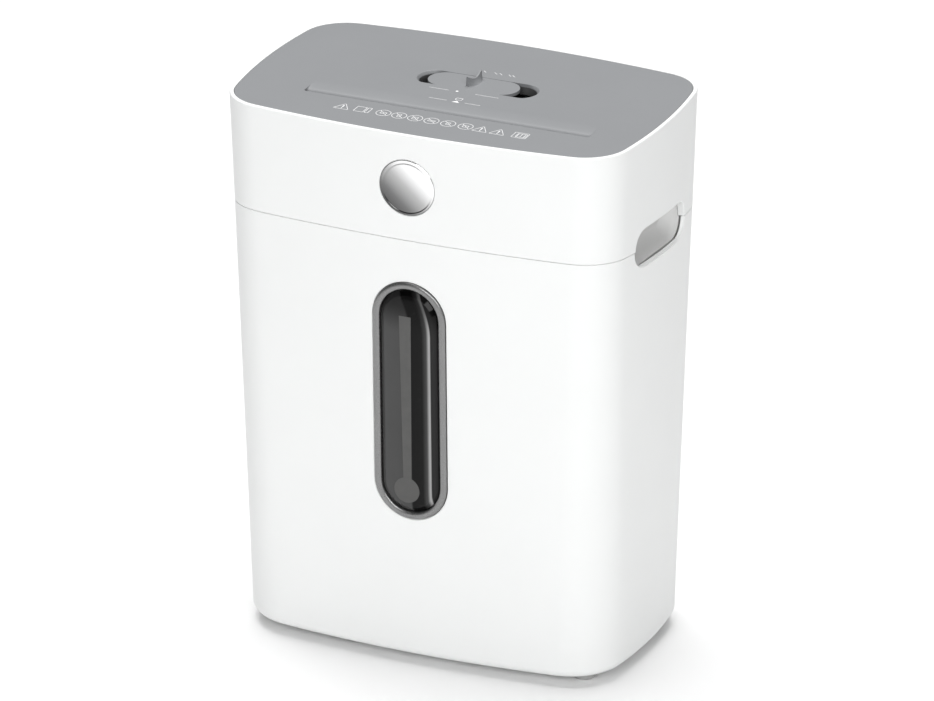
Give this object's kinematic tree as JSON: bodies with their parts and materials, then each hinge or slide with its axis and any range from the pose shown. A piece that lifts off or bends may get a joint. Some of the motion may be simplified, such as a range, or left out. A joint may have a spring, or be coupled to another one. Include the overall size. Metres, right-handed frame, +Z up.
{
  "type": "paper shredder",
  "caption": "Home paper shredder: a lift-off cutting head with a feed slot, mode slider and hand grips, on a white bin with a smoked window.",
  "frame": {"origin": "on the floor, under the middle of the base", "axes": "+Z up, -Y towards the front with the window and badge, +X to the right seen from the front"},
  "size_m": [0.3168, 0.1982, 0.4228],
  "materials": {
    "case_white": "fine satin moulded, bright white",
    "case_grey": "fine spark-eroded texture, mid grey",
    "window_trim": "satin metallised plastic, light grey",
    "badge_chrome": "bright chromed plastic",
    "smoked_window": "polished smoked, nearly black",
    "rubber": "matt light grey elastomer",
    "dark_plastic": "matt black glass-filled",
    "plate_steel": "zinc-plated sheet, lightly brushed",
    "hard_steel": "ground and oiled tool steel",
    "bush_bronze": "sintered, oil-filled, dull",
    "gear_nylon": "natural nylon, slight sheen",
    "circuit_board": "solder-masked board with dark components",
    "winding": "enamelled copper wire on a laminated core",
    "magnet": "sintered ferrite, dull dark grey"
  },
  "bodies": {
    "bin": {"bin_shell": "case_white", "window_bezel": "window_trim", "window_pane": "smoked_window", "foot_front_left": "rubber", "foot_front_right": "rubber", "foot_rear_left": "rubber", "foot_rear_right": "rubber"},
    "head": {"head_shell": "case_white", "top_panel": "case_grey", "badge": "badge_chrome", "head_base": "case_grey", "cord_inlet": "rubber", "case_screw_1": "plate_steel", "case_screw_2": "plate_steel", "case_screw_3": "plate_steel", "case_screw_4": "plate_steel", "frame_plate_left": "plate_steel", "frame_plate_right": "plate_steel", "tie_rod_front": "plate_steel", "tie_rod_rear": "plate_steel", "tie_rod_lower": "plate_steel", "comb_front": "dark_plastic", "comb_rear": "dark_plastic", "feed_guide_front": "dark_plastic", "feed_guide_rear": "dark_plastic", "bush_front_left": "bush_bronze", "bush_front_right": "bush_bronze", "bush_rear_left": "bush_bronze", "bush_rear_right": "bush_bronze", "gear_pin_1": "hard_steel", "gear_pin_2": "hard_steel", "gear_cover": "dark_plastic", "motor_can": "plate_steel", "motor_end_cap": "dark_plastic", "motor_magnet_upper": "magnet", "motor_magnet_lower": "magnet", "motor_screw_1": "plate_steel", "motor_screw_2": "plate_steel", "mode_switch": "dark_plastic", "control_board": "circuit_board", "interlock_switch": "dark_plastic", "sensor_switch": "dark_plastic", "sensor_pin": "hard_steel"},
    "cutter_front": {"cutter_front": "hard_steel", "sync_gear_front": "hard_steel"},
    "cutter_rear": {"cutter_rear": "hard_steel", "sync_gear_rear": "hard_steel", "drive_gear": "gear_nylon"},
    "gear_1": {"reduction_gear_1": "gear_nylon"},
    "gear_2": {"reduction_gear_2": "gear_nylon"},
    "rotor": {"motor_shaft": "hard_steel", "armature": "winding", "motor_pinion": "hard_steel", "cooling_fan": "dark_plastic"},
    "slider": {"mode_slider": "case_grey"},
    "interlock": {"interlock_plunger": "dark_plastic"},
    "sensor": {"sensor_lever": "dark_plastic"}
  },
  "joints": [
    {"name": "head_lift", "type": "slide", "parent": "bin", "child": "head", "axis": [0, 0, 1], "range_m": [0, 0.08]},
    {"name": "cutter_front_spin", "type": "hinge", "parent": "head", "child": "cutter_front", "pos_m": [0, -0.059, 0.362], "axis": [1, 0, 0], "continuous": true},
    {"name": "cutter_rear_spin", "type": "hinge", "parent": "head", "child": "cutter_rear", "pos_m": [0, -0.032, 0.362], "axis": [1, 0, 0], "continuous": true},
    {"name": "gear_2_spin", "type": "hinge", "parent": "head", "child": "gear_2", "pos_m": [0, -0.0005, 0.362], "axis": [1, 0, 0], "continuous": true},
    {"name": "gear_1_spin", "type": "hinge", "parent": "head", "child": "gear_1", "pos_m": [0, 0.02417, 0.37551], "axis": [1, 0, 0], "continuous": true},
    {"name": "rotor_spin", "type": "hinge", "parent": "head", "child": "rotor", "pos_m": [0, 0.044, 0.362], "axis": [1, 0, 0], "continuous": true},
    {"name": "mode_slide", "type": "slide", "parent": "head", "child": "slider", "axis": [1, 0, 0], "range_m": [-0.006, 0.012]},
    {"name": "interlock_press", "type": "slide", "parent": "head", "child": "interlock", "axis": [0, 0, 1], "range_m": [0, 0.002], "stiffness_N_per_m": 300},
    {"name": "sensor_tilt", "type": "hinge", "parent": "head", "child": "sensor", "pos_m": [0, -0.0585, 0.393], "axis": [1, 0, 0], "range_deg": [-60, 0], "stiffness_Nm_per_rad": 0.003}
  ],
  "couplings": [
    {"joint": "cutter_rear_spin", "follows": "cutter_front_spin", "ratio": -1},
    {"joint": "gear_2_spin", "follows": "cutter_front_spin", "ratio": 2.5},
    {"joint": "gear_1_spin", "follows": "cutter_front_spin", "ratio": -7.7273},
    {"joint": "rotor_spin", "follows": "cutter_front_spin", "ratio": 29.364}
  ]
}
